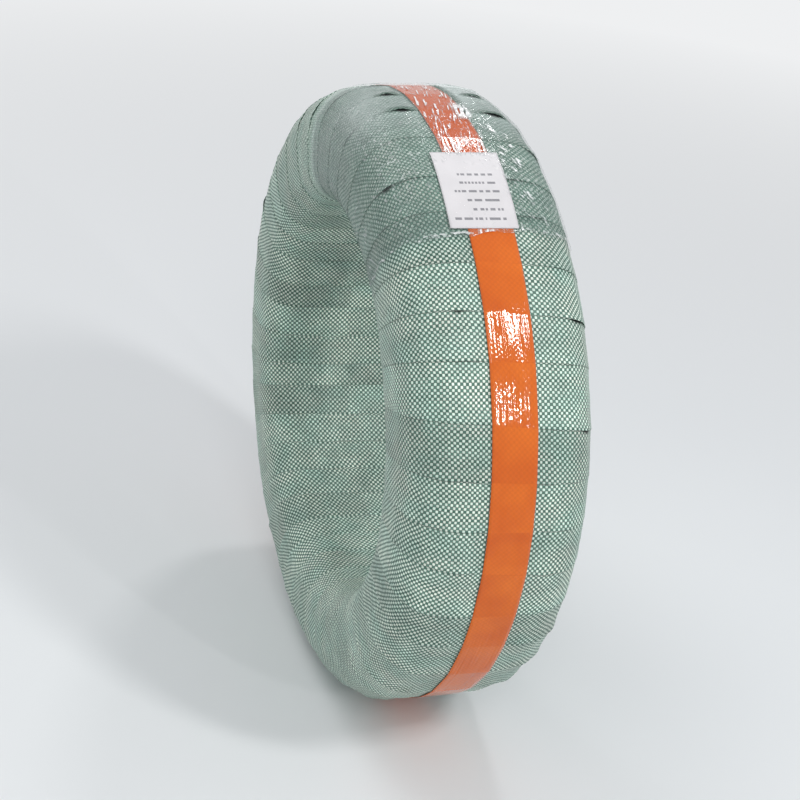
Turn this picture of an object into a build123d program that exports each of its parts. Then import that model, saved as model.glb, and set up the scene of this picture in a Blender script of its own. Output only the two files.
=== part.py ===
from build123d import *
from math import cos, hypot, radians, sin
import os

# Wire coil in a woven wrap, in millimetres.
# The origin is the centre of the eye. The coil's axis is along X, +Z is up and the front is towards -Y.
# An angle along the tread counts forward from the coil's top.

# The packed coil
outer_diameter = 720.0
eye_diameter = 450.0
coil_width = 210.0
shoulder_radius = 58.0
eye_corner_radius = 40.0

# The woven strip, wound through the eye turn over turn
strip_turns = 40
strip_step = 0.8
strip_slant = 4.5
wrap_thickness = 1.5

# The orange tape round the middle of the tread
band_width = 50.0
band_thickness = 0.5

# The paper label, placed by the angle of its middle
label_width = 75.0
label_height = 105.0
label_thickness = 0.3
label_angle = 26.0
label_side_shift = -7.0
label_tilt = 2.0

# The clear film, from behind the coil's top to just below the label
film_thickness = 0.4
film_start_angle = -20.0
film_end_angle = 36.0
film_edge_clearance = 0.2

# The flats that stand for each round corner of a section
wrap_corner_flats = 4
hollow_corner_flats = 3
wire_corner_flats = 1
film_corner_flats = 4

# The room between a piece and the one that it lies on
seat_clearance = 0.3

# Radii that stack up inwards from the tape and outwards from the eye, then widths
outer_radius = outer_diameter / 2
eye_radius = eye_diameter / 2
strip_pitch = 360 / strip_turns
facet_share = cos(radians(strip_pitch / 2))
slant_share = cos(radians(strip_slant))
strip_high_radius = outer_radius - band_thickness - seat_clearance
strip_low_radius = strip_high_radius - strip_step
strip_low_width = coil_width - 2 * strip_step
strip_bore_radius = eye_radius - strip_step
film_seat_radius = eye_radius + film_thickness + seat_clearance
hollow_high_radius = strip_low_radius - wrap_thickness
hollow_low_radius = (film_seat_radius + wrap_thickness) / facet_share
hollow_width = strip_low_width - 2 * wrap_thickness
hollow_shoulder = shoulder_radius - strip_step - wrap_thickness
hollow_eye_corner = eye_corner_radius - strip_step - wrap_thickness
hollow_side_reach = hollow_width / 2 * sin(radians(strip_slant))
wire_outer_radius = hollow_high_radius * facet_share - seat_clearance
wire_inner_radius = hypot(hollow_low_radius, hollow_side_reach) + seat_clearance
wire_width = hollow_width * slant_share - 2 * seat_clearance
label_inner_radius = outer_radius + seat_clearance
film_inner_radius = label_inner_radius + label_thickness + seat_clearance
film_inner_width = coil_width + 2 * seat_clearance
film_seat_reach = wrap_thickness + 3 * strip_step


def ring_section(width, high_radius, low_radius, shoulder, eye_corner, flats, mode=Mode.ADD):
    """Section of the ring: a flat tread, round shoulders, flat sides and round corners at the eye, in flats."""
    turns = [radians(90 / flats * flat) for flat in range(flats + 1)]
    eye_side = [
        (width / 2 - eye_corner + eye_corner * sin(turn), low_radius + eye_corner - eye_corner * cos(turn))
        for turn in turns
    ]
    tread_side = [
        (width / 2 - shoulder + shoulder * cos(turn), high_radius - shoulder + shoulder * sin(turn))
        for turn in turns
    ]
    with BuildSketch(mode=Mode.PRIVATE) as section:
        with BuildLine():
            Polyline((0, low_radius), *eye_side, *tread_side, (0, high_radius))
            mirror(about=Plane.YZ)
        make_face()
    add(section.sketch, mode=mode)


def hollow_section(mode):
    """Section of the hollow that the wire fills inside the wrap."""
    ring_section(
        hollow_width,
        hollow_high_radius,
        hollow_low_radius,
        hollow_shoulder,
        hollow_eye_corner,
        hollow_corner_flats,
        mode,
    )


def film_section(inner_gap=0, outer_gap=0):
    """Section of the film, with its inside moved in and its outside moved out by the gaps."""
    outer_skin = film_thickness + outer_gap
    ring_section(
        film_inner_width + 2 * outer_skin,
        film_inner_radius + outer_skin,
        eye_radius - outer_gap,
        shoulder_radius + outer_skin,
        eye_corner_radius + outer_gap,
        film_corner_flats,
    )
    ring_section(
        film_inner_width - 2 * inner_gap,
        film_inner_radius - inner_gap,
        eye_radius + film_thickness + inner_gap,
        shoulder_radius - inner_gap,
        eye_corner_radius - film_thickness - inner_gap,
        film_corner_flats,
        mode=Mode.SUBTRACT,
    )


def tread_plane(angle, slant=0):
    """Plane across the ring at an angle along the tread, turned about its radius by the slant."""
    return Plane.XZ.rotated((0, 0, -slant)).rotated((angle, 0, 0))


os.makedirs("parts", exist_ok=True)

# Wire: the plain turned ring inside the wrap
with BuildPart() as wire_coil:
    with BuildSketch(Plane.XZ):
        ring_section(
            wire_width,
            wire_outer_radius,
            wire_inner_radius,
            hollow_shoulder - seat_clearance,
            hollow_eye_corner - seat_clearance,
            wire_corner_flats,
        )
    revolve(axis=Axis.X)
wire_coil.part.label = "wire_coil"
export_step(wire_coil.part, "parts/wire_coil.step")

# Clear film: a sector of a shell that wraps the whole section
with BuildPart() as clear_film:
    with BuildSketch(tread_plane(film_start_angle)):
        film_section()
    revolve(axis=Axis.X, revolution_arc=film_end_angle - film_start_angle)
clear_film.part.label = "clear_film"
export_step(clear_film.part, "parts/clear_film.step")

# The shallow seat that the tight film presses into the wrap at the eye
with BuildPart() as film_seat:
    with BuildSketch(tread_plane(film_start_angle - film_edge_clearance)):
        film_section(inner_gap=seat_clearance, outer_gap=film_seat_reach)
    revolve(axis=Axis.X, revolution_arc=film_end_angle - film_start_angle + 2 * film_edge_clearance)

# One turn of the strip: low where the turn above covers it, high at its own free edge
with BuildPart() as strip_turn:
    with BuildSketch(tread_plane(-strip_pitch / 2, strip_slant)):
        ring_section(
            strip_low_width,
            strip_low_radius,
            strip_bore_radius,
            shoulder_radius - strip_step,
            eye_corner_radius - strip_step,
            wrap_corner_flats,
        )
        hollow_section(mode=Mode.SUBTRACT)
    with BuildSketch(tread_plane(strip_pitch / 2, strip_slant)):
        ring_section(
            coil_width,
            strip_high_radius,
            strip_bore_radius - strip_step,
            shoulder_radius,
            eye_corner_radius,
            wrap_corner_flats,
        )
        hollow_section(mode=Mode.SUBTRACT)
    loft(ruled=True)

# Woven wrap: all turns of the strip, drawn tight and round along the eye
with BuildPart() as woven_wrap:
    add([strip_turn.part.rotate(Axis.X, turn * strip_pitch) for turn in range(strip_turns)])
    with BuildSketch(Plane.YZ):
        Circle(eye_radius)
    extrude(amount=coil_width, both=True, mode=Mode.SUBTRACT)
    add(film_seat.part, mode=Mode.SUBTRACT)
woven_wrap.part.label = "woven_wrap"
export_step(woven_wrap.part, "parts/woven_wrap.step")

# Orange band: tape pulled straight from one free edge of the strip to the next
with BuildPart() as orange_band:
    with BuildSketch(Plane.YZ):
        RegularPolygon(outer_radius, strip_turns, rotation=strip_pitch / 2)
        RegularPolygon(outer_radius - band_thickness, strip_turns, rotation=strip_pitch / 2, mode=Mode.SUBTRACT)
    extrude(amount=band_width / 2, both=True)
orange_band.part.label = "orange_band"
export_step(orange_band.part, "parts/orange_band.step")

# Label: a paper sheet bent round the tread, over part of the tape
with BuildPart() as label:
    with BuildSketch(tread_plane(label_angle).rotated((-90, 0, 0))):
        with Locations((label_side_shift, 0)):
            Rectangle(label_width, label_height, rotation=label_tilt)
    extrude(amount=outer_diameter)
    with BuildSketch(Plane.YZ):
        Circle(label_inner_radius + label_thickness)
        Circle(label_inner_radius, mode=Mode.SUBTRACT)
    extrude(amount=coil_width / 2, both=True, mode=Mode.INTERSECT)
label.part.label = "label"
export_step(label.part, "parts/label.step")
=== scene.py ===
import math

import bpy
import numpy as np
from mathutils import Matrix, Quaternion, Vector, noise


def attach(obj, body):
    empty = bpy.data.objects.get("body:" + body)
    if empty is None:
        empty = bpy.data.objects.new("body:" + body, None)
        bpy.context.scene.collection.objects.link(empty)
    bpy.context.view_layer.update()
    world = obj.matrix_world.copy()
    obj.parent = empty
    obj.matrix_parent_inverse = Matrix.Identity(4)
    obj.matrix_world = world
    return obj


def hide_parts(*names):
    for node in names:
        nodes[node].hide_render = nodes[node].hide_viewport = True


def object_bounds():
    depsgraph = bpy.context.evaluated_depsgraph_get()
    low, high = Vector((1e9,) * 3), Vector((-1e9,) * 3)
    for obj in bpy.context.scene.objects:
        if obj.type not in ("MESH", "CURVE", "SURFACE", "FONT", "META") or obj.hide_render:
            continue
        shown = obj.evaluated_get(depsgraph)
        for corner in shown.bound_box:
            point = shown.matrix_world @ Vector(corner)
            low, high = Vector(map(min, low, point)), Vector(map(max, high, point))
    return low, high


# Looks of the wrapped wire coil, in metres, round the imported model.
# The origin is the eye's centre, X is the coil's axis and Z is up.
# An angle along the tread counts forward from the coil's top.

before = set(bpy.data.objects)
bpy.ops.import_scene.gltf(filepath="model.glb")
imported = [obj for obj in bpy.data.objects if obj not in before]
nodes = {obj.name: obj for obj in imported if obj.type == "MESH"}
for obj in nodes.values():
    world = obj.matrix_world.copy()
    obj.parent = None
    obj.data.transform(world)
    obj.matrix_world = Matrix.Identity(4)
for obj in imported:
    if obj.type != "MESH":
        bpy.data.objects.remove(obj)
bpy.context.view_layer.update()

# The coil's section under the tape, as the CAD has it, and the points that follow it
outer_radius = 0.3592
eye_radius = 0.225
coil_width = 0.210
shoulder_radius = 0.058
eye_corner_radius = 0.040
corner_flats = 4
section_points = 144
fine_steps = 6
softening_passes = 60

# The woven strip, wound through the eye as one endless ribbon
strip_turns = 40
strip_pitch = 2 * math.pi / strip_turns
strip_width = 0.075
strip_step = 0.00055
strip_points = strip_turns * section_points
weave_pitch = 0.003

# The orange tape, the label and the film
band_width = 0.050
band_lift = 0.0006
band_thickness = 0.0004
label_width = 0.075
label_height = 0.105
label_angle = math.radians(26.0)
label_shift = -0.005
label_tilt = math.radians(2.0)
label_lift = 0.0016
label_thickness = 0.0003
film_start = math.radians(-20.0)
film_end = math.radians(36.0)

# Uneven edges: waves round the ring or the section, each a height, a count and a phase
edge_drift = ((0.011, 7, 1.3), (0.009, 13, 0.4), (0.006, 23, 2.1))
edge_wobble = ((0.0011, 97, 0.7), (0.0008, 161, 1.9))
edge_rise = ((0.00025, 11, 0.5), (0.0002, 29, 1.1))
film_edge_waves = ((0.007, 5, 0.9), (0.004, 13, 2.0))
film_edge_back = 0.008

# Distances from the axis: the eye's end, the tread's start, and the least that counts as outside the eye
eye_end_radius = 0.262
tread_start_radius = 0.335
outside_radius = eye_radius + 0.08

# Seeds, so that each run gives the same result
noise_seed_step = 17.3
random = np.random.default_rng(7)


# Small helpers

def rising(value, start, fade):
    """0 up to the start, then up to 1 over the fade."""
    return np.clip((value - start) / fade, 0, 1)


def falling(value, end, fade):
    """Down to 0 over the fade, which stops at the end."""
    return np.clip((end - value) / fade, 0, 1)


def triples(*parts):
    """Three values a point, each spread over the whole grid."""
    return np.stack(np.broadcast_arrays(*parts), -1)


def round_ring(x, r, angle):
    """Points, or directions, from their parts along and off the axis and their angles."""
    return np.stack([x, -r * np.sin(angle), r * np.cos(angle)], -1)


def waves(whole, terms):
    """Sum of sine waves of an angle."""
    return sum(height * np.sin(count * whole + phase) for height, count, phase in terms)


def wave(points, size, seed):
    """Smooth noise from -1 to 1 at points, with features of that size."""
    size = np.broadcast_to(np.asarray(size, float), (3,))
    shifted = points.reshape(-1, 3) / size + seed * noise_seed_step
    return np.array([noise.noise(Vector(p)) for p in shifted]).reshape(points.shape[:-1])


def mesh_piece(name, vertices, faces, fields):
    """A new object from points and faces, smooth, with named values on its points."""
    mesh = bpy.data.meshes.new(name)
    mesh.from_pydata(np.asarray(vertices, float).reshape(-1, 3).tolist(), [], faces)
    mesh.shade_smooth()
    for field, values in fields.items():
        attribute = mesh.attributes.new(field, "FLOAT_VECTOR", "POINT")
        attribute.data.foreach_set("vector", np.asarray(values, np.float32).ravel())
    mesh.update()
    piece = bpy.data.objects.new(name, mesh)
    bpy.context.scene.collection.objects.link(piece)
    return piece


def grid_faces(rows, columns, rows_closed=False, columns_closed=False):
    """Four-sided faces of a grid of points, counted row by row."""
    faces = []
    for row in range(rows if rows_closed else rows - 1):
        here = row * columns
        there = (row + 1) % rows * columns
        for column in range(columns if columns_closed else columns - 1):
            after = (column + 1) % columns
            faces.append((here + column, here + after, there + after, there + column))
    return faces


def thicken(piece, thickness):
    """Gives a skin its thickness, inwards."""
    solid = piece.modifiers.new("thickness", "SOLIDIFY")
    solid.thickness = thickness
    solid.offset = -1


# Section curve

def corner_points(centre_x, centre_r, radius, start):
    """Corners of the flats that stand for a quarter round, clockwise from the start angle in degrees."""
    turns = [math.radians(start - 90 / corner_flats * flat) for flat in range(corner_flats + 1)]
    return [(centre_x + radius * math.cos(turn), centre_r + radius * math.sin(turn)) for turn in turns]


def section_corners():
    """Corners of the section, from the middle of the eye by the -X side and the tread to the +X side."""
    half = coil_width / 2
    tread = corner_points(half - shoulder_radius, outer_radius - shoulder_radius, shoulder_radius, 90)
    eye = corner_points(half - eye_corner_radius, eye_radius + eye_corner_radius, eye_corner_radius, 0)
    right = [(0, outer_radius)] + tread + eye + [(0, eye_radius)]
    left = [(-x, r) for x, r in reversed(right[1:-1])]
    return np.array([right[-1]] + left + right[:-1])


def resample(points, count):
    """Points at even steps along a closed line, and the line's length."""
    closed = np.vstack([points, points[:1]])
    length = np.concatenate([[0], np.cumsum(np.linalg.norm(np.diff(closed, axis=0), axis=1))])
    steps = np.linspace(0, length[-1], count, endpoint=False)
    return np.stack([np.interp(steps, length, closed[:, axis]) for axis in range(2)], 1), length[-1]


def softened(points, passes):
    """A closed line with its corners rubbed round."""
    for _ in range(passes):
        points = (np.roll(points, 1, 0) + 2 * points + np.roll(points, -1, 0)) / 4
    return points


section_fine, section_length = resample(section_corners(), section_points * fine_steps)
section = softened(section_fine, softening_passes)[::fine_steps]
section_along = np.roll(section, -1, 0) - np.roll(section, 1, 0)
section_normal = np.stack([-section_along[:, 1], section_along[:, 0]], 1)
section_normal /= np.linalg.norm(section_normal, axis=1)[:, None]


def place(row, angle, lift):
    """Points at section rows, whole or between two, at angles from the top and lifts off the section."""
    row = np.asarray(row, float) % section_points
    low = np.floor(row).astype(int) % section_points
    high = (low + 1) % section_points
    share = (row - np.floor(row))[..., None]
    at = section[low] * (1 - share) + section[high] * share
    out = section_normal[low] * (1 - share) + section_normal[high] * share
    x = at[..., 0] + out[..., 0] * lift
    r = at[..., 1] + out[..., 1] * lift
    return round_ring(x, r, angle)


# Edges of the strip and the film

def edge_angle(turn):
    """Angle of the strip's free edge, by the number of turns along the strip."""
    whole = 2 * math.pi * turn / strip_turns
    return strip_pitch * turn + waves(whole, edge_drift) + waves(whole, edge_wobble) - math.pi


def edge_lift(turn):
    """Height of the free edge over the section line, by the number of turns along the strip."""
    return waves(2 * math.pi * turn / strip_turns, edge_rise)


def film_edge_shift(row):
    """How far the film's two edges lie outside their straight lines, as an angle by the section row."""
    return waves(2 * math.pi * row / section_points, film_edge_waves) - film_edge_back


# Pockets where the strip's free edge buckles up: turns along the strip, length in turns, height

crown_pockets = [
    (19.425, 0.019, 0.0021),
    (20.428, 0.024, 0.0023),
    (20.600, 0.028, 0.0023),
    (19.590, 0.020, 0.0019),
    (18.430, 0.022, 0.0016),
]
small_pockets = 130
pocket_from_tread = (0.06, 0.19)
pocket_lengths = (0.014, 0.030)
pocket_heights = (0.0003, 0.0013)

# A pocket higher than this shows as a dark slit
slit_height = 0.0014


def pocket_places():
    """The pockets at the crown, and small ones at random places beside the tread."""
    found = list(crown_pockets)
    for _ in range(small_pockets):
        side = random.choice([-1, 1])
        centre = random.integers(0, strip_turns) + 0.5 + side * random.uniform(*pocket_from_tread)
        length = random.uniform(*pocket_lengths) / section_length
        found.append((centre, length, random.uniform(*pocket_heights)))
    return found


def pocket_rise(turn):
    """Lift of the free edge in its pockets."""
    lift = 0
    for centre, length, height in pockets:
        lift = lift + height * np.exp(-2 * ((turn - centre) / length) ** 2)
    return lift


pockets = pocket_places()

# Woven strip: the visible part of each turn, from the edge of the turn above to its own edge

strip_shares = np.array([0, 0.1, 0.2, 0.31, 0.42, 0.53, 0.64, 0.74, 0.83, 0.91, 0.965, 1.0])
turn_of_row = np.arange(strip_points) / section_points
row_of_strip = np.arange(strip_points) % section_points
turn_number = np.floor(turn_of_row)
strip_from_middle = np.abs(section[row_of_strip, 0])
strip_r = section[row_of_strip, 1]
own_edge = edge_angle(turn_of_row)
upper_edge = edge_angle(turn_of_row - 1)
low_end = place(row_of_strip, upper_edge, edge_lift(turn_of_row - 1) - strip_step)
high_end = place(row_of_strip, own_edge, edge_lift(turn_of_row))
out_normal = round_ring(section_normal[row_of_strip, 0], section_normal[row_of_strip, 1], own_edge)
visible_width = np.linalg.norm(high_end - low_end, axis=1)
columns = [low_end[:, None] * (1 - share) + high_end[:, None] * share for share in strip_shares]
visible = np.concatenate(columns, 1)
across = visible_width[:, None] * strip_shares[None, :]
along = turn_of_row * section_length

# Woven strip: broad waves, folds and pockets, with less of them under the tape and in the eye

broad_size = (0.05, 0.12, 0.12)
broad_height = 0.0010
fold_size = (0.06, 0.0085, 1)
fold_lowest = -0.2
fold_on_tread = 0.0002
fold_beside_tread = 0.0006
fold_in_eye = 0.0006
eye_rise_limit = 0.0001
flat_at_band = 0.9
pocket_start = 0.72

on_tread = rising(strip_r, tread_start_radius, fade=0.02)
near_band = falling(strip_from_middle, end=0.045, fade=0.012) * on_tread
under_band = falling(strip_from_middle, end=0.036, fade=0.008) * on_tread
in_eye = falling(strip_r, eye_end_radius, fade=0.025)
broad = wave(visible, broad_size, seed=1) * broad_height
fold_noise = wave(triples(along[:, None], across, turn_number[:, None]), fold_size, seed=2)
fold_heights = fold_on_tread + fold_beside_tread * (1 - on_tread) + fold_in_eye * in_eye
folds = np.clip(fold_noise, fold_lowest, 1) * fold_heights[:, None]
folds *= (4 * strip_shares * (1 - strip_shares))[None, :]
rise = (broad + folds) * (1 - flat_at_band * near_band)[:, None]
rise = np.where(in_eye[:, None] > 0.5, np.minimum(rise, eye_rise_limit), rise)
pocket_lift = pocket_rise(turn_of_row) * (1 - under_band)
rise += pocket_lift[:, None] * rising(strip_shares, pocket_start, 1 - pocket_start)[None, :] ** 1.5
visible = visible + out_normal[:, None, :] * rise[..., None]

# Woven strip: the hidden part under the turn above, and the free edge's lip

least_hidden_width = 0.004
hidden_far_lift = -0.0027
hidden_near_lift = -0.0020
hidden_near_share = 0.2
lip_gap = 0.03

hidden_width = np.maximum(strip_width - visible_width, least_hidden_width)[:, None]
hidden_angle = hidden_width[:, 0] / strip_r
hidden_far = place(row_of_strip, upper_edge - hidden_angle, hidden_far_lift)
hidden_near = place(row_of_strip, upper_edge - hidden_near_share * hidden_angle, hidden_near_lift)
lip = visible[:, -1] - out_normal * strip_step
ribbon = np.concatenate([hidden_far[:, None], hidden_near[:, None], visible, lip[:, None]], 1)
ribbon_across = np.concatenate(
    [-hidden_width, -hidden_near_share * hidden_width, across, visible_width[:, None] + strip_step], 1
)
ribbon_gap = np.concatenate([np.zeros((strip_points, 2)), across, np.full((strip_points, 1), lip_gap)], 1)
ribbon_columns = ribbon.shape[1]

# Woven strip: whether the film lies over it, each turn's painted sheen, and the pockets of the turn above

film_edge_fade = 0.02
turn_sheen_rates = (2.4, 0.9)
full_pocket = 0.0026

strip_angle = np.arctan2(-ribbon[..., 1], ribbon[..., 2])
shift_here = film_edge_shift(row_of_strip)[:, None]
under_film = rising(strip_angle - film_start + shift_here, 0, film_edge_fade)
under_film = under_film * falling(strip_angle, film_end + shift_here, film_edge_fade)
# Painted sheen: a tone for each turn that stands in for the turns' different sheen
turn_sheen = 0.5 + 0.5 * np.sin(turn_number * turn_sheen_rates[0]) * np.cos(turn_number * turn_sheen_rates[1])
pocket_depth = rising(pocket_rise(turn_of_row - 1), 0, full_pocket)
woven_strip = mesh_piece(
    "woven_strip",
    ribbon,
    grid_faces(strip_points, ribbon_columns, rows_closed=True),
    {
        "strip_place": triples(ribbon_across, along[:, None], ribbon_gap),
        "strip_zone": triples(under_film, turn_sheen[:, None], pocket_depth[:, None]),
    },
)


def lay_out_turns(piece):
    """The strip's map for baking: a rectangle for each turn, two side by side, hidden parts as slivers."""
    map_columns = 2
    map_rows = strip_turns // map_columns
    hidden_share = 0.02
    lip_share = 0.03
    side_room = 0.002
    end_room = 0.01
    shown_share = 1 - 2 * hidden_share - lip_share
    across_map = np.concatenate([[0, hidden_share], 2 * hidden_share + shown_share * strip_shares, [1]])
    rows = np.repeat(np.arange(strip_points), ribbon_columns - 1)
    columns = np.tile(np.arange(ribbon_columns - 1), strip_points)
    turn = (rows // section_points)[:, None]
    corner_rows = rows[:, None] + np.array([0, 0, 1, 1]) - turn * section_points
    corner_columns = columns[:, None] + np.array([0, 1, 1, 0])
    u_in_turn = side_room + (1 - 2 * side_room) * corner_rows / section_points
    v_in_turn = end_room + (1 - 2 * end_room) * across_map[corner_columns]
    u = (turn % map_columns + u_in_turn) / map_columns
    v = (turn // map_columns + v_in_turn) / map_rows
    layer = piece.data.uv_layers.new(name="OFBake")
    layer.data.foreach_set("uv", np.stack([u, v], -1).astype(np.float32).ravel())


lay_out_turns(woven_strip)

# Orange tape: straight runs between the strip's free edges, a little bulged, crowned and rippled

band_columns = 15
band_shares = np.array([0.0, 0.02, 0.08, 0.2, 0.35, 0.5, 0.65, 0.8, 0.92, 0.98])
bulge_share = 0.45
band_crown_height = 0.0002
band_ripple_size = (0.009, 8, 0.9)
band_ripple_height = 0.00012


def band_surface(x, turn, share):
    """Points on the straight runs of tape between the strip's free edges."""
    row = section_points / 2 + x / section_length * section_points
    low_turn = turn - 1 + row / section_points
    high_turn = turn + row / section_points
    low = place(row, edge_angle(low_turn), edge_lift(low_turn) + band_lift)
    high = place(row, edge_angle(high_turn), edge_lift(high_turn) + band_lift)
    return low * (1 - share[..., None]) + high * share[..., None]


band_turn = np.repeat(np.arange(strip_turns), len(band_shares)).astype(float)
band_share = np.tile(band_shares, strip_turns)
band_x = np.linspace(-band_width / 2, band_width / 2, band_columns)
turn_grid, x_grid = np.meshgrid(band_turn, band_x, indexing="ij")
share_grid = np.broadcast_to(band_share[:, None], x_grid.shape)
band_points = band_surface(x_grid, turn_grid, share_grid)
band_bulge = 4 * share_grid * (1 - share_grid) * outer_radius * strip_pitch**2 / 8 * bulge_share
band_crown = np.cos(x_grid / band_width * math.pi) * band_crown_height
band_ripple = wave(triples(x_grid, turn_grid, share_grid), band_ripple_size, seed=5) * band_ripple_height
band_out = band_points * np.array([0, 1, 1])
band_out /= np.linalg.norm(band_out, axis=-1)[..., None]
band_points = band_points + band_out * (band_crown + band_bulge + band_ripple)[..., None]
band_along = (band_turn + band_share) * strip_pitch * outer_radius
orange_tape = mesh_piece(
    "orange_tape",
    band_points,
    grid_faces(len(band_turn), band_columns, rows_closed=True),
    {"tape_place": triples(x_grid, band_along[:, None], turn_grid)},
)
thicken(orange_tape, band_thickness)

# Paper label

label_columns = 26
label_rows = 36
label_wave_size = 0.03
label_wave_height = 0.0002

label_u, label_v = np.meshgrid(
    np.linspace(-0.5, 0.5, label_columns) * label_width, np.linspace(-0.5, 0.5, label_rows) * label_height
)
label_place = triples(label_u, label_v, 0.0)
label_x = label_u * math.cos(label_tilt) - label_v * math.sin(label_tilt) + label_shift
label_down = label_u * math.sin(label_tilt) + label_v * math.cos(label_tilt)
label_r = outer_radius + label_lift + label_wave_height * wave(label_place, label_wave_size, seed=3)
paper_label = mesh_piece(
    "paper_label",
    round_ring(label_x, label_r, label_angle + label_down / outer_radius),
    grid_faces(label_rows, label_columns),
    {"label_place": label_place},
)
thicken(paper_label, label_thickness)

# Clear film: its grid, and where it runs over the tape and the label

film_rows = 130
film_columns = section_points * 2
film_down_scale = 0.3
film_flat_lift = 0.0022
film_lift_least = 0.0011
film_over_label = 0.0010
film_over_band = 0.0007
label_surround = 0.012

row_line = np.arange(film_columns) / 2
angle_grid, row_grid = np.meshgrid(np.linspace(film_start, film_end, film_rows), row_line, indexing="ij")
film_share = (angle_grid - film_start) / (film_end - film_start)
angle_grid = angle_grid + film_edge_shift(row_grid) * (2 * film_share - 1)
flat_film = place(row_grid, angle_grid, film_flat_lift)
film_x = flat_film[..., 0]
film_r = np.hypot(flat_film[..., 1], flat_film[..., 2])
film_outside = film_r > outside_radius
film_eye = falling(film_r, eye_end_radius, fade=0.03)
label_near_x = falling(np.abs(film_x - label_shift), label_width / 2 + label_surround, label_surround)
film_from_label = np.abs(angle_grid - label_angle) * outer_radius
label_near_angle = falling(film_from_label, label_height / 2 + label_surround, label_surround)
over_band = falling(np.abs(film_x), end=0.034, fade=0.008) * film_outside
over_label = label_near_x * label_near_angle * film_outside
film_base = film_lift_least + np.maximum(film_over_label * over_label, film_over_band * over_band)

# Clear film: wrinkles, crumples, the rise over the pockets, and the clear lens just past each slit

film_crease_height = 0.0005
film_calm_in_eye = 0.8
film_eye_drop = 0.0008
film_pocket_spread = 1.5
film_pocket_reach = 0.012
slit_narrowing = 1.6
slit_lens_ahead = 0.0050
slit_lens_reach = 0.0052


def film_creases(points, size, seed, sharpness):
    """Thin ridges, where smooth noise passes through zero."""
    ridges = 1 - np.abs(wave(points, size, seed)) * sharpness
    return film_crease_height * np.clip(ridges, 0, 1) ** 2


film_round = row_grid / section_points * section_length
film_down = angle_grid * film_down_scale
film_flat = triples(film_round, film_down, 0.0)
film_wrinkles = film_creases(film_flat, size=(0.035, 0.012, 1), seed=8, sharpness=3)
film_crumples = film_creases(flat_film, size=0.011, seed=9, sharpness=4)
film_rise = film_wrinkles + film_crumples
film_pocket = np.zeros_like(angle_grid)
film_slit = np.zeros_like(angle_grid)
for centre, length, height in pockets:
    beside = (row_grid / section_points - centre % 1) / (length * film_pocket_spread)
    below = (angle_grid - edge_angle(np.array(centre))) * outer_radius / film_pocket_reach
    film_pocket += height * np.exp(-(beside**2) - below**2)
    if height > slit_height:
        edge_here = edge_angle(math.floor(centre) + row_grid / section_points)
        past_edge = ((angle_grid - edge_here) * outer_radius - slit_lens_ahead) / slit_lens_reach
        film_slit += np.exp(-(beside**2) * slit_narrowing - past_edge**2)
film_lift = film_base + film_pocket + film_rise * (1 - film_calm_in_eye * film_eye)
film_lift = film_lift - film_eye_drop * film_eye
stretch_film = mesh_piece(
    "stretch_film",
    place(row_grid, angle_grid, film_lift),
    grid_faces(film_rows, film_columns, columns_closed=True),
    {"film_place": triples(film_round, film_down, np.clip(film_slit, 0, 1))},
)


# Materials

# The part of a noise's range that a tone runs over, and the whole range of a share and of a sine
noise_core = (0.35, 0.65)
noise_body = (0.3, 0.7)
share_range = (0.0, 1.0)
sine_range = (-1.0, 1.0)


class Nodes:
    """A node tree with short calls. A value is a number, a colour or another node's socket."""

    def __init__(self, tree):
        self.tree = tree

    def link(self, value, socket):
        if isinstance(value, bpy.types.NodeSocket):
            self.tree.links.new(value, socket)
        elif value is not None:
            socket.default_value = value

    def node(self, kind, *values, **settings):
        made = self.tree.nodes.new(kind)
        for name, value in settings.items():
            setattr(made, name, value)
        for value, socket in zip(values, made.inputs):
            self.link(value, socket)
        return made

    def math(self, operation, *values):
        return self.node("ShaderNodeMath", *values, operation=operation).outputs[0]

    def times(self, first, *others):
        for other in others:
            first = self.math("MULTIPLY", first, other)
        return first

    def most(self, first, *others):
        for other in others:
            first = self.math("MAXIMUM", first, other)
        return first

    def distance(self, first, second):
        return self.math("ABSOLUTE", self.math("SUBTRACT", first, second))

    def field(self, name):
        vector = self.node("ShaderNodeAttribute", attribute_name=name).outputs["Vector"]
        return vector, *self.parts(vector)

    def parts(self, vector):
        return self.node("ShaderNodeSeparateXYZ", vector).outputs

    def vector(self, x, y, z=0.0):
        return self.node("ShaderNodeCombineXYZ", x, y, z).outputs[0]

    def noise(self, vector, scale, detail, roughness=0.5):
        made = self.node("ShaderNodeTexNoise")
        self.link(vector, made.inputs["Vector"])
        made.inputs["Scale"].default_value = scale
        made.inputs["Detail"].default_value = detail
        made.inputs["Roughness"].default_value = roughness
        return made.outputs[0]

    def span(self, value, low, high, to_low=0.0, to_high=1.0):
        """The value's range from low to high, stretched to another range and cut off at its ends."""
        return self.node("ShaderNodeMapRange", value, low, high, to_low, to_high).outputs[0]

    def fall(self, value, low, high):
        """1 up to low and 0 from high on."""
        return self.span(value, low, high, 1.0, 0.0)

    def mix(self, factor, first, second, blend="MIX"):
        made = self.node("ShaderNodeMix", data_type="RGBA", blend_type=blend)
        self.link(factor, made.inputs[0])
        self.link(first, made.inputs[6])
        self.link(second, made.inputs[7])
        return made.outputs[2]

    def bump(self, height, strength, distance, normal=None):
        made = self.node("ShaderNodeBump")
        made.inputs["Strength"].default_value = strength
        made.inputs["Distance"].default_value = distance
        self.link(height, made.inputs["Height"])
        self.link(normal, made.inputs["Normal"])
        return made.outputs[0]

    def seen(self):
        """1 for what the camera sees, also in gloss and through clear pieces, and 0 for other light."""
        rays = self.node("ShaderNodeLightPath").outputs
        return self.most(rays["Is Camera Ray"], rays["Is Glossy Ray"], rays["Is Transmission Ray"])


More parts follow.
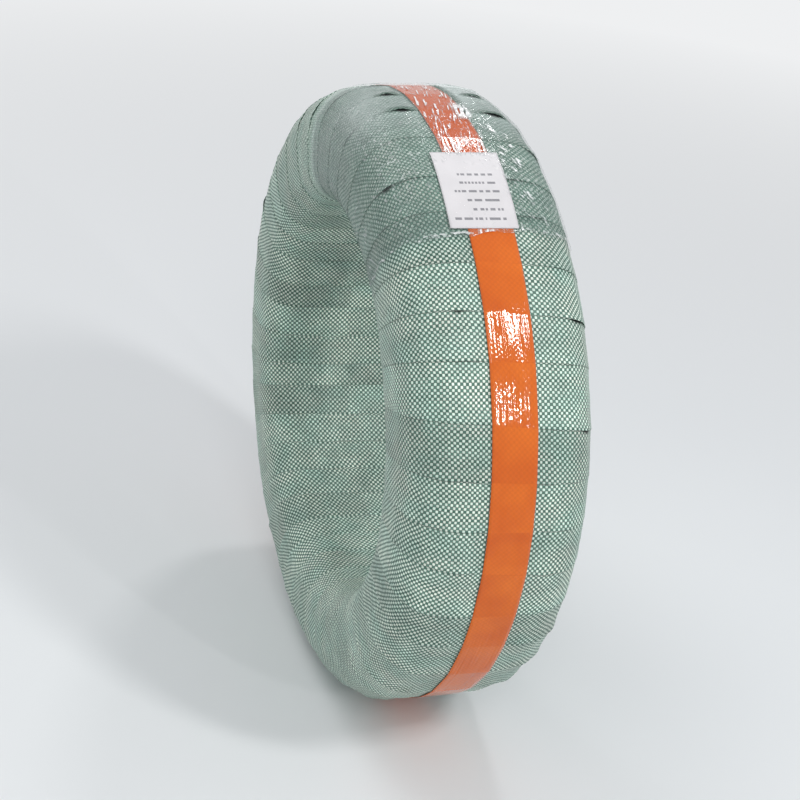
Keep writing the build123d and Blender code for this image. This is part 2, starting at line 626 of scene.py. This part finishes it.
class Material(Nodes):
    """A new node material."""

    def __init__(self, name):
        self.material = bpy.data.materials.new(name)
        self.material.use_nodes = True
        super().__init__(self.material.node_tree)
        self.tree.nodes.clear()
        self.output = self.tree.nodes.new("ShaderNodeOutputMaterial")

    def surface(self, **values):
        shader = self.node("ShaderNodeBsdfPrincipled")
        for name, value in values.items():
            self.link(value, shader.inputs[name.replace("_", " ")])
        self.tree.links.new(shader.outputs[0], self.output.inputs["Surface"])
        return shader


def weave_cells(m, across_m, along_m):
    """The weave's cells in uneven rows, whether the green tape is on top in each, and the tapes' height."""
    weave_sway = 1.6
    steep = 0.45
    gentle = 0.7
    sway = m.noise(m.vector(across_m, along_m), scale=24.0, detail=1.0)
    bend = m.noise(m.vector(along_m, across_m), scale=31.0, detail=1.0)
    u = m.math("ADD", m.math("DIVIDE", across_m, weave_pitch), m.times(sway, weave_sway))
    v = m.math("ADD", m.math("DIVIDE", along_m, weave_pitch), m.times(bend, weave_sway))
    cell_u = m.math("FLOOR", u)
    cell_v = m.math("FLOOR", v)
    odd = m.math("FLOORED_MODULO", m.math("ADD", cell_u, cell_v), 2.0)
    arch_u = m.math("COSINE", m.times(m.math("SUBTRACT", m.math("FRACT", u), 0.5), math.pi))
    arch_v = m.math("COSINE", m.times(m.math("SUBTRACT", m.math("FRACT", v), 0.5), math.pi))
    white_height = m.times(m.math("POWER", arch_u, steep), m.math("POWER", arch_v, gentle))
    green_height = m.times(m.math("POWER", arch_v, steep), m.math("POWER", arch_u, gentle))
    height = m.node("ShaderNodeMix", odd, None, white_height, green_height, data_type="FLOAT").outputs[0]
    return cell_u, cell_v, odd, height


def weave_colour(m, place_vector, flat_place, cell_u, cell_v, odd, under_film):
    """White and green tapes, with the white ones greener and mottled under the film."""
    dull_white = (0.64, 0.82, 0.72, 1)
    clean_white = (0.82, 0.91, 0.80, 1)
    dark_green = (0.060, 0.150, 0.110, 1)
    light_green = (0.13, 0.25, 0.195, 1)
    filmed_white = (0.15, 0.24, 0.20, 1)
    filmed_shares = (0.42, 0.78)
    drawn_out = 0.04
    tape_tone = m.noise(m.vector(cell_u, m.times(cell_v, drawn_out)), scale=0.9, detail=1.0)
    patch = m.noise(place_vector, scale=22.0, detail=3.0)
    mottle = m.noise(flat_place, scale=160.0, detail=2.0)
    filmed = m.times(under_film, m.span(mottle, *noise_core, *filmed_shares))
    white = m.mix(m.span(patch, *noise_core), dull_white, clean_white)
    white = m.mix(filmed, white, filmed_white)
    green = m.mix(m.span(tape_tone, *noise_body), dark_green, light_green)
    return m.mix(odd, white, green)


def weave_tone_and_shade(m, flat_place, cell, height, turn_sheen):
    """Painted shade in the gaps between the tapes, painted sheen that differs from turn to turn, and
    slightly different tones of cells and patches.
    """
    # Painted shade: where the tapes sink into their gaps, they darken to these tones
    shaded_gap_heights = (0.12, 0.55)
    gap_shade_tones = (0.35, 1.0)
    cell_tones = (0.86, 1.08)
    # Painted sheen, a different tone for each turn
    turn_sheen_tones = (0.84, 1.10)
    blotch_tones = (0.86, 1.12)
    cell_noise = m.noise(cell, scale=0.7, detail=1.0)
    blotch = m.noise(flat_place, scale=30.0, detail=3.0)
    return m.times(
        m.span(height, *shaded_gap_heights, *gap_shade_tones),
        m.span(cell_noise, *noise_body, *cell_tones),
        m.span(turn_sheen, *share_range, *turn_sheen_tones),
        m.span(blotch, *noise_body, *blotch_tones),
    )


def edge_shadow(m, flat_place, edge_m, pocket):
    """A thin broken shadow line at the turn above, wide and dark in a deep pocket."""
    slit_depths = (0.5, 0.8)
    slit_reach = 0.005
    line_reaches = (0.0002, 0.0018)
    line_breaks = (0.42, 0.62)
    line_tone = 0.84
    slit_tone = -0.6
    darkest = 0.02
    broken = m.noise(flat_place, scale=90.0, detail=2.0)
    deep = m.span(pocket, *slit_depths)
    reach = m.math("ADD", m.span(broken, *line_breaks, *line_reaches), m.times(deep, slit_reach))
    tone = m.span(deep, *share_range, line_tone, slit_tone)
    return m.most(m.span(edge_m, 0.0, reach, tone, 1.0), darkest)


def weave_material():
    """Woven plastic tape: white one way and green the other, with worn and dusty tones."""
    crease_lean = 0.6
    crease_stretch = 0.22
    half_crease = 0.03
    m = Material("woven_tape")
    place_vector, across_m, along_m, edge_m = m.field("strip_place")
    _, under_film, turn_sheen, pocket = m.field("strip_zone")
    flat_place = m.vector(across_m, along_m)
    cell_u, cell_v, odd, height = weave_cells(m, across_m, along_m)
    colour = weave_colour(m, place_vector, flat_place, cell_u, cell_v, odd, under_film)
    shade = weave_tone_and_shade(m, flat_place, m.vector(cell_u, cell_v), height, turn_sheen)
    shade = m.times(shade, edge_shadow(m, flat_place, edge_m, pocket))
    grey = m.node("ShaderNodeCombineColor", shade, shade, shade).outputs[0]
    colour = m.mix(1.0, colour, grey, "MULTIPLY")
    crease_place = m.node("ShaderNodeMapping", place_vector, vector_type="POINT")
    crease_place.inputs["Rotation"].default_value = (0, 0, crease_lean)
    crease_place.inputs["Scale"].default_value = (1.0, crease_stretch, 1.0)
    crease_noise = m.noise(crease_place.outputs[0], scale=26.0, detail=3.0)
    crease = m.fall(m.distance(crease_noise, 0.5), 0.0, half_crease)
    normal = m.bump(height, strength=0.55, distance=0.0005)
    normal = m.bump(crease, strength=0.35, distance=0.0006, normal=normal)
    m.surface(Base_Color=colour, Roughness=0.42, Specular_IOR_Level=0.25, Normal=normal)
    return m.material


def tape_material():
    """Glossy orange tape with fine lengthwise ripples and a faint weave, redder under the film."""
    pale_orange = (0.77, 0.165, 0.012, 1)
    deep_orange = (0.63, 0.108, 0.006, 1)
    weave_orange = (0.42, 0.07, 0.01, 1)
    filmed_orange = (0.56, 0.078, 0.004, 1)
    film_starts = (-0.125, -0.115)
    film_ends = (0.215, 0.225)
    filmed_share = 0.8
    most_weave = 0.24
    streak_stretch = 0.06
    nick_stretch = 0.16
    ripple_stretch = 0.6
    m = Material("orange_gloss")
    place_vector, x, along_m, _ = m.field("tape_place")
    streak = m.noise(m.vector(x, m.times(along_m, streak_stretch)), scale=240.0, detail=1.0)
    nick = m.noise(m.vector(x, m.times(along_m, nick_stretch)), scale=330.0, detail=0.0)
    ripple = m.noise(m.vector(x, m.times(along_m, ripple_stretch)), scale=36.0, detail=1.0)
    across_weave = m.math("SINE", m.times(x, math.pi / weave_pitch))
    along_weave = m.math("SINE", m.times(along_m, math.pi / weave_pitch))
    check = m.times(across_weave, along_weave)
    tone = m.noise(place_vector, scale=18.0, detail=2.0)
    colour = m.mix(m.span(tone, *noise_body), deep_orange, pale_orange)
    colour = m.mix(m.span(check, *sine_range, 0.0, most_weave), colour, weave_orange)
    from_top = m.math("SUBTRACT", along_m, math.pi * outer_radius)
    under_film = m.times(m.span(from_top, *film_starts), m.fall(from_top, *film_ends))
    colour = m.mix(m.times(under_film, filmed_share), colour, filmed_orange)
    normal = m.bump(streak, strength=0.42, distance=0.0011)
    normal = m.bump(nick, strength=0.32, distance=0.0006, normal=normal)
    normal = m.bump(ripple, strength=0.4, distance=0.0022, normal=normal)
    normal = m.bump(check, strength=0.06, distance=0.0004, normal=normal)
    m.surface(Base_Color=colour, Roughness=0.07, IOR=1.45, Specular_IOR_Level=0.42, Normal=normal)
    return m.material


def greeked_rows(m, u, v):
    """Six rows of broken dark lines that stand for print, without any letters."""
    row_pitch = 0.0118
    rows_start = 0.024
    row_count = 6
    half_line = 0.13
    line_starts = (-0.030, -0.002)
    line_end = 0.026
    word_edges = (0.44, 0.50)
    words_apart = 3.7
    starts_apart = 7.1
    row = m.math("DIVIDE", m.math("ADD", v, rows_start), row_pitch)
    row_number = m.math("FLOOR", row)
    in_line = m.math("LESS_THAN", m.distance(m.math("FRACT", row), 0.5), half_line)
    past_first = m.math("GREATER_THAN", row_number, -0.5)
    before_last = m.math("LESS_THAN", row_number, row_count - 0.5)
    words = m.noise(m.vector(u, m.times(row_number, words_apart)), scale=260.0, detail=0.0)
    start_noise = m.noise(m.vector(0.0, m.times(row_number, starts_apart)), scale=1.0, detail=0.0)
    after = m.math("GREATER_THAN", u, m.span(start_noise, *noise_body, *line_starts))
    before = m.math("LESS_THAN", u, line_end)
    return m.times(in_line, past_first, before_last, m.span(words, *word_edges), after, before)


def label_material():
    """Matt white paper with greeked rows of print."""
    grey_paper = (0.70, 0.67, 0.685, 1)
    white_paper = (0.765, 0.73, 0.745, 1)
    fibre_tone = (0.60, 0.58, 0.60, 1)
    ink_tone = (0.10, 0.10, 0.12, 1)
    most_fibre = 0.12
    ink_share = 0.75
    m = Material("label_print")
    place_vector, u, v, _ = m.field("label_place")
    fibre = m.noise(place_vector, scale=900.0, detail=2.0)
    tone = m.noise(place_vector, scale=30.0, detail=2.0)
    colour = m.mix(m.span(tone, *noise_body), grey_paper, white_paper)
    colour = m.mix(m.span(fibre, *noise_core, 0.0, most_fibre), colour, fibre_tone)
    colour = m.mix(m.times(greeked_rows(m, u, v), ink_share), colour, ink_tone)
    m.surface(Base_Color=colour, Roughness=0.55, Normal=m.bump(fibre, strength=0.08, distance=0.0002))
    return m.material


class FilmMaterial(Material):
    """Clear stretch film: nearly unseen where it lies flat, with painted glints, pale strokes, where it
    creases.
    """

    label_top = film_down_scale * (label_angle - label_height / 2 / outer_radius)
    label_bottom = film_down_scale * (label_angle + label_height / 2 / outer_radius)
    front_edge = film_down_scale * film_end

    def __init__(self):
        super().__init__("clear_wrinkles")
        _, self.along, self.down, slit = self.field("film_place")
        self.flat_place = self.vector(self.along, self.down)
        self.from_label = self.math("SUBTRACT", self.along, section_length / 2 + label_shift)
        self.from_band = self.distance(self.along, section_length / 2)
        self.over_band = self.times(
            self.fall(self.from_band, low=0.022, high=0.030),
            self.fall(self.down, low=0.094, high=0.100),
        )
        self.over_label = self.times(
            self.between(self.from_label, low=-0.036, high=0.036, fade=0.004),
            self.between(self.down, self.label_top, self.label_bottom, fade=0.002),
        )
        self.clear = self.span(slit, low=0.1, high=0.7, to_low=1.0, to_high=0.15)

    def between(self, value, low, high, fade):
        """1 from low to high, with a fade outside each end."""
        return self.times(self.span(value, low - fade, low), self.fall(value, high, high + fade))

    def glint_strokes(self, lean, stretch, scale, low, high):
        """Pale strokes for painted glints, which lean by an angle in degrees and are drawn out along it."""
        turned = self.node("ShaderNodeVectorRotate", self.flat_place, rotation_type="Z_AXIS")
        turned.inputs["Angle"].default_value = math.radians(lean)
        x, y, _ = self.parts(turned.outputs[0])
        drawn = self.noise(self.vector(x, self.times(y, stretch)), scale, detail=2.0, roughness=0.6)
        return self.span(drawn, low, high)

    def wavy_line(self, down, narrow, wide):
        """A thin uneven line round the section, at a distance down."""
        sway_height = 0.010
        sway_row = 0.3
        sway = self.noise(self.vector(self.along, sway_row), scale=40.0, detail=2.0)
        wavy_down = self.math("ADD", self.down, self.times(sway, sway_height))
        return self.fall(self.distance(wavy_down, down), narrow, wide)

    def slanted_glints(self):
        """Painted glints on slanted creases, strong beside the label and loose elsewhere."""
        loose_share = 0.55
        slanted = self.glint_strokes(lean=38.0, stretch=0.34, scale=190.0, low=0.55, high=0.66)
        beside_label = self.times(
            self.between(self.from_label, low=0.036, high=0.062, fade=0.014),
            self.between(self.down, low=0.05, high=0.19, fade=0.02),
        )
        patches = self.span(self.noise(self.flat_place, scale=24.0, detail=2.0), low=0.50, high=0.62)
        return self.times(slanted, self.most(beside_label, self.times(patches, loose_share)))

    def band_glints(self):
        """Painted glints on lengthwise creases over the tape, more of them above the label, and a painted
        glare at its edge.
        """
        seam_start = self.label_top - 0.012
        seam_end = self.label_top + 0.003
        lengthwise = self.glint_strokes(lean=-14.0, stretch=0.12, scale=300.0, low=0.56, high=0.64)
        upright = self.glint_strokes(lean=-8.0, stretch=0.16, scale=330.0, low=0.50, high=0.60)
        broad = self.glint_strokes(lean=-14.0, stretch=0.12, scale=260.0, low=0.38, high=0.50)
        glare = self.times(
            self.between(self.from_label, low=0.021, high=0.033, fade=0.006),
            self.between(self.down, low=0.010, high=0.032, fade=0.01),
        )
        return self.most(
            self.times(lengthwise, self.over_band),
            self.times(upright, self.over_band, self.between(self.down, seam_start, seam_end, fade=0.02)),
            self.times(broad, glare),
        )

    def edge_glints(self):
        """Painted glints on level creases along the film's front edge and the label's top, and on a fold
        below the label.
        """
        edge_share = 0.8
        seam_share = 0.7
        level = self.glint_strokes(lean=84.0, stretch=0.30, scale=340.0, low=0.52, high=0.60)
        edge = self.wavy_line(self.front_edge + 0.0005, narrow=0.001, wide=0.005)
        seam = self.wavy_line(self.label_top + 0.004, narrow=0.0003, wide=0.0012)
        seam_side = self.fall(self.from_label, low=-0.040, high=-0.034)
        fold = self.glint_strokes(lean=-8.0, stretch=0.16, scale=330.0, low=0.42, high=0.52)
        below_label = self.times(
            self.between(self.from_label, low=-0.008, high=0.006, fade=0.004),
            self.between(self.down, self.label_bottom, high=0.2, fade=0.001),
        )
        return self.most(
            self.times(level, edge, edge_share),
            self.times(level, seam, seam_side, seam_share),
            self.times(fold, below_label),
        )

    def glint_specks(self):
        """Painted glints as short bright specks in loose patches."""
        speck_share = 0.6
        short = self.glint_strokes(lean=28.0, stretch=0.5, scale=360.0, low=0.57, high=0.65)
        patches = self.span(self.noise(self.flat_place, scale=16.0, detail=1.0), low=0.40, high=0.56)
        return self.times(short, patches, speck_share)

    def painted_glints(self):
        """All painted glints together, fainter over the label."""
        label_dimming = 0.8
        top_fade = 0.02
        marks = self.most(self.slanted_glints(), self.band_glints(), self.edge_glints(), self.glint_specks())
        past_top = self.span(self.down, self.label_top, self.label_top + top_fade, to_low=0.4)
        dimmed = self.times(self.over_label, past_top, label_dimming)
        return self.times(marks, self.math("SUBTRACT", 1.0, dimmed))

    def haze_and_glare(self):
        """White haze towards the crown, partly denser film and partly painted glare; thin over the tape, on
        the sides and at the slits.
        """
        patches = self.noise(self.flat_place, scale=9.0, detail=1.0)
        return self.times(
            self.span(self.down, low=0.080, high=0.015),
            self.span(patches, low=0.36, high=0.60, to_low=0.45),
            self.span(self.from_band, low=0.024, high=0.034, to_low=0.05),
            self.span(self.from_band, low=0.060, high=0.120, to_low=1.0, to_high=0.3),
            self.clear,
        )


def film_material():
    """The film's colour, clearness and wrinkled gloss, with painted glints in white and a haze that is
    partly painted glare.
    """
    grey_film = (0.30, 0.37, 0.35, 1)
    # Haze colour, partly denser film and partly painted glare at the crown
    haze_glare_film = (0.78, 0.88, 0.85, 1)
    # Painted glints: white strokes drawn into the film's colour and alpha
    glint_white = (0.97, 0.98, 0.98, 1)
    loose_alpha = 0.13
    tight_alpha = 0.05
    haze_glare_alpha = 0.50
    glint_alpha = 0.85
    pull_stretch = 0.10
    glitter_stretch = 0.6
    m = FilmMaterial()
    # Painted glints, pale strokes drawn into the film's colour and alpha
    glint_mask = m.painted_glints()
    # Haze towards the crown, partly denser film and partly painted glare
    haze_glare_share = m.haze_and_glare()
    tight = m.most(m.over_label, m.over_band)
    alpha = m.math("ADD", m.span(tight, *share_range, loose_alpha, tight_alpha), m.times(haze_glare_share, haze_glare_alpha))
    alpha = m.times(m.most(alpha, m.times(glint_mask, glint_alpha)), m.clear)
    colour = m.mix(glint_mask, m.mix(haze_glare_share, grey_film, haze_glare_film), glint_white)
    pull = m.noise(m.vector(m.times(m.along, pull_stretch), m.down), scale=260.0, detail=2.0)
    glitter = m.noise(m.vector(m.times(m.along, glitter_stretch), m.down), scale=210.0, detail=2.0)
    normal = m.bump(pull, strength=0.5, distance=0.0015)
    normal = m.bump(glitter, strength=0.8, distance=0.0022, normal=normal)
    m.surface(
        Base_Color=colour, Roughness=0.12, IOR=1.6, Specular_IOR_Level=0.8, Alpha=alpha, Normal=normal
    )
    return m.material


def wire_material():
    """Drawn steel wire under the wrap, with its turns as fine lines."""
    wire_pitch = 0.005
    dark_steel = (0.30, 0.30, 0.31, 1)
    light_steel = (0.48, 0.48, 0.50, 1)
    m = Material("drawn_wire")
    coordinates = m.node("ShaderNodeTexCoord").outputs["Object"]
    x, _, _ = m.parts(coordinates)
    turns = m.math("SINE", m.times(x, 2 * math.pi / wire_pitch))
    colour = m.mix(m.noise(coordinates, scale=40.0, detail=3.0), dark_steel, light_steel)
    normal = m.bump(turns, strength=0.8, distance=0.001)
    m.surface(Base_Color=colour, Metallic=1.0, Roughness=0.35, Normal=normal)
    return m.material


# What each piece replaces, rides on and is made of

for piece, material, node, slot in (
    (woven_strip, weave_material(), "woven_wrap", "woven_strip"),
    (orange_tape, tape_material(), "orange_band", "orange_tape"),
    (paper_label, label_material(), "label", "label_paper"),
    (stretch_film, film_material(), "clear_film", "film"),
):
    piece.data.materials.append(material)
    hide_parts(node)
    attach(piece, "root")

for material_slot in nodes["wire_coil"].material_slots:
    material_slot.material = wire_material()

# Floor, lamps and camera

backdrop_colour = (0.86, 0.87, 0.88, 1)
floor_colour = (0.80, 0.81, 0.82, 1)
ambient_colour = (0.90, 0.95, 1.0, 1)
ambient_strength = 0.38
white_light = (1.0, 1.0, 1.0)
cool_light = (0.78, 0.94, 1.0)
warm_light = (1.0, 0.98, 0.93)
floor_reach = 8.0
floor_fade = (0.9, 3.0)


def stage_floor():
    """A pale floor under the coil that fades into the backdrop."""
    mesh = bpy.data.meshes.new("floor")
    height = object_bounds()[0].z
    corners = [(-1, -1), (1, -1), (1, 1), (-1, 1)]
    mesh.from_pydata([(x * floor_reach, y * floor_reach, height) for x, y in corners], [], [(0, 1, 2, 3)])
    floor = bpy.data.objects.new("floor", mesh)
    bpy.context.scene.collection.objects.link(floor)
    m = Material("pale_floor")
    shader = m.surface(Base_Color=floor_colour, Roughness=0.7)
    position = m.node("ShaderNodeNewGeometry").outputs["Position"]
    away = m.node("ShaderNodeVectorMath", position, operation="LENGTH").outputs["Value"]
    far_share = m.times(m.seen(), m.span(away, *floor_fade))
    glow = m.node("ShaderNodeEmission", backdrop_colour, 1.0).outputs[0]
    blend = m.node("ShaderNodeMixShader", far_share, shader.outputs[0], glow)
    m.link(blend.outputs[0], m.output.inputs["Surface"])
    floor.data.materials.append(m.material)


def softbox(name, place_at, target, size, watts, colour=white_light):
    """A soft rectangular lamp that faces the target."""
    lamp = bpy.data.lights.new(name, "AREA")
    lamp.shape = "RECTANGLE"
    lamp.size, lamp.size_y = size
    lamp.energy = watts
    lamp.color = colour
    holder = bpy.data.objects.new(name, lamp)
    holder.location = place_at
    holder.rotation_euler = (Vector(target) - Vector(place_at)).to_track_quat("-Z", "Y").to_euler()
    bpy.context.scene.collection.objects.link(holder)


def light_room():
    """Soft lamps round the coil. The key, the window and the skylight are small, for clear highlights."""
    middle = (0, 0, 0)
    crown = (0, -0.12, 0.34)
    softbox("key", (0.98, -1.74, 2.00), (0, -0.28, 0.23), (0.24, 0.52), watts=24)
    softbox("window", (0.815, -2.60, 1.13), (0, -0.32, 0.16), (0.05, 0.13), watts=8)
    softbox("front", (-0.6, -2.4, 2.0), (0, -0.2, 0.1), (0.9, 0.9), watts=16)
    softbox("side", (2.2, -0.85, 1.20), (0, -0.2, 0.15), (0.6, 1.4), watts=1.5, colour=cool_light)
    softbox("top", (-0.80, 1.00, 2.3), crown, (1.2, 1.2), watts=13)
    softbox("skylight", (0.86, 1.30, 2.10), crown, (0.32, 0.24), watts=9.5)
    softbox("fill", (-2.6, -0.9, 1.2), middle, (1.8, 1.8), watts=8, colour=warm_light)
    softbox("back", (-1.5, 2.3, 1.6), middle, (1.8, 1.8), watts=11)


def light_world():
    """Even light from all round, with the backdrop's colour where the world itself is seen."""
    world = bpy.data.worlds.new("studio")
    bpy.context.scene.world = world
    world.use_nodes = True
    w = Nodes(world.node_tree)
    ambient = w.tree.nodes["Background"]
    ambient.inputs["Color"].default_value = ambient_colour
    ambient.inputs["Strength"].default_value = ambient_strength
    backdrop = w.node("ShaderNodeBackground", backdrop_colour)
    blend = w.node("ShaderNodeMixShader", w.seen(), ambient.outputs[0], backdrop.outputs[0])
    w.link(blend.outputs[0], w.tree.nodes["World Output"].inputs["Surface"])


def make_camera():
    """The photograph's viewing point round the coil, with the whole coil in view."""
    lean = math.radians(6.6)
    data = bpy.data.cameras.new("camera")
    data.lens = 84
    data.sensor_width = 36
    camera = bpy.data.objects.new("camera", data)
    camera.location = (-0.702, -1.840, 1.024)
    target = Vector((0.0, 0.0, -0.012))
    facing = (target - camera.location).to_track_quat("-Z", "Y")
    camera.rotation_euler = (facing @ Quaternion((0, 0, 1), lean)).to_euler()
    bpy.context.scene.collection.objects.link(camera)
    bpy.context.scene.camera = camera


stage_floor()
light_room()
light_world()
make_camera()
bpy.context.scene.view_settings.view_transform = "Standard"
bpy.context.view_layer.update()
